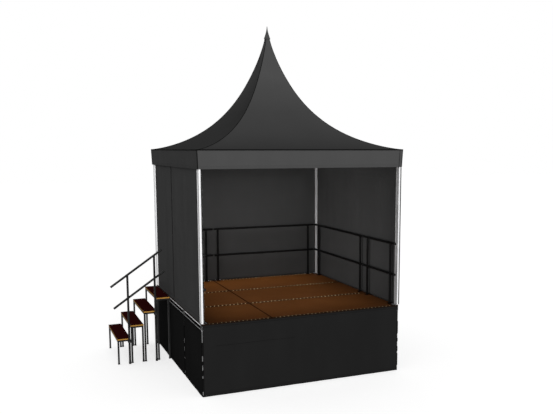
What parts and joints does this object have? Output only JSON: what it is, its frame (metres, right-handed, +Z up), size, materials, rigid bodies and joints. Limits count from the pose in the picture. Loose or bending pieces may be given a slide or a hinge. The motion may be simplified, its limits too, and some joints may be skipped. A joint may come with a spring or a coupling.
{
  "type": "stage platform",
  "caption": "Modular stage deck on trestles with skirts, a peaked tent with walls and a zip door, guard rails and a bench stair with a handrail.",
  "frame": {"origin": "centre of the whole footprint, stair and handrail included, on the floor", "axes": "+X to the right seen from the open front, with the stair at -X; +Y to the rear; +Z up"},
  "size_m": [3.9344, 3.04, 5.16],
  "materials": {
    "aluminium": "satin anodised",
    "deck_plywood": "brown film-faced plywood",
    "tread_plywood": "dark maroon film-faced plywood",
    "black_steel": "black powder coat",
    "tent_fabric": "charcoal coated polyester",
    "skirt_cloth": "black molton cloth",
    "zinc_steel": "zinc plated"
  },
  "bodies": {
    "stage": {"deck_frame_left_front": "aluminium", "deck_board_left_front": "deck_plywood", "deck_frame_right_front": "aluminium", "deck_board_right_front": "deck_plywood", "deck_frame_left_middle": "aluminium", "deck_board_left_middle": "deck_plywood", "deck_frame_right_middle": "aluminium", "deck_board_right_middle": "deck_plywood", "deck_frame_left_rear": "aluminium", "deck_board_left_rear": "deck_plywood", "deck_frame_right_rear": "aluminium", "deck_board_right_rear": "deck_plywood", "leg_trestle_1": "aluminium", "leg_trestle_2": "aluminium", "leg_trestle_3": "aluminium", "leg_trestle_4": "aluminium", "skirt_front": "skirt_cloth", "skirt_back": "skirt_cloth", "skirt_left_1": "skirt_cloth", "skirt_left_2": "skirt_cloth", "skirt_left_3": "skirt_cloth", "skirt_right_1": "skirt_cloth", "skirt_right_2": "skirt_cloth", "skirt_right_3": "skirt_cloth", "tent_post_front_left": "aluminium", "tent_post_front_right": "aluminium", "tent_post_rear_left": "aluminium", "tent_post_rear_right": "aluminium", "eave_beam_front": "aluminium", "eave_beam_back": "aluminium", "eave_beam_left": "aluminium", "eave_beam_right": "aluminium", "roof_membrane": "tent_fabric", "valance": "tent_fabric", "peak_cap": "black_steel", "king_pole": "aluminium", "cross_cable_upper": "zinc_steel", "cross_cable_lower": "zinc_steel", "back_wall": "tent_fabric", "right_wall": "tent_fabric", "left_wall": "tent_fabric", "stair_tread_1": "tread_plywood", "stair_frame_1": "black_steel", "stair_tread_2": "tread_plywood", "stair_frame_2": "black_steel", "stair_tread_3": "tread_plywood", "stair_frame_3": "black_steel", "stair_tread_4": "tread_plywood", "stair_frame_4": "black_steel"},
    "door": {"door_flap": "tent_fabric"},
    "zip": {"zip_slider": "zinc_steel"},
    "handrail": {"stair_handrail": "black_steel"},
    "rail_back_short": {"guard_rail_back_short": "black_steel"},
    "rail_back_long": {"guard_rail_back_long": "black_steel"},
    "rail_right_long": {"guard_rail_right_long": "black_steel"},
    "rail_right_short": {"guard_rail_right_short": "black_steel"},
    "rail_left": {"guard_rail_left": "black_steel"}
  },
  "joints": [
    {"name": "door_hinge", "type": "hinge", "parent": "stage", "child": "door", "pos_m": [-1.03228, 1.37, 1.01], "axis": [0, 0, 1], "range_deg": [0, 85]},
    {"name": "zip_slide", "type": "slide", "parent": "stage", "child": "zip", "axis": [0, 0, 1], "range_m": [0, 1.95]},
    {"name": "handrail_lift", "type": "slide", "parent": "stage", "child": "handrail", "axis": [0, 0, 1], "range_m": [0, 0.78]},
    {"name": "rail_back_short_lift", "type": "slide", "parent": "stage", "child": "rail_back_short", "axis": [0, 0, 1], "range_m": [0, 0.1]},
    {"name": "rail_back_long_lift", "type": "slide", "parent": "stage", "child": "rail_back_long", "axis": [0, 0, 1], "range_m": [0, 0.1]},
    {"name": "rail_right_long_lift", "type": "slide", "parent": "stage", "child": "rail_right_long", "axis": [0, 0, 1], "range_m": [0, 0.1]},
    {"name": "rail_right_short_lift", "type": "slide", "parent": "stage", "child": "rail_right_short", "axis": [0, 0, 1], "range_m": [0, 0.1]},
    {"name": "rail_left_lift", "type": "slide", "parent": "stage", "child": "rail_left", "axis": [0, 0, 1], "range_m": [0, 0.1]}
  ]
}
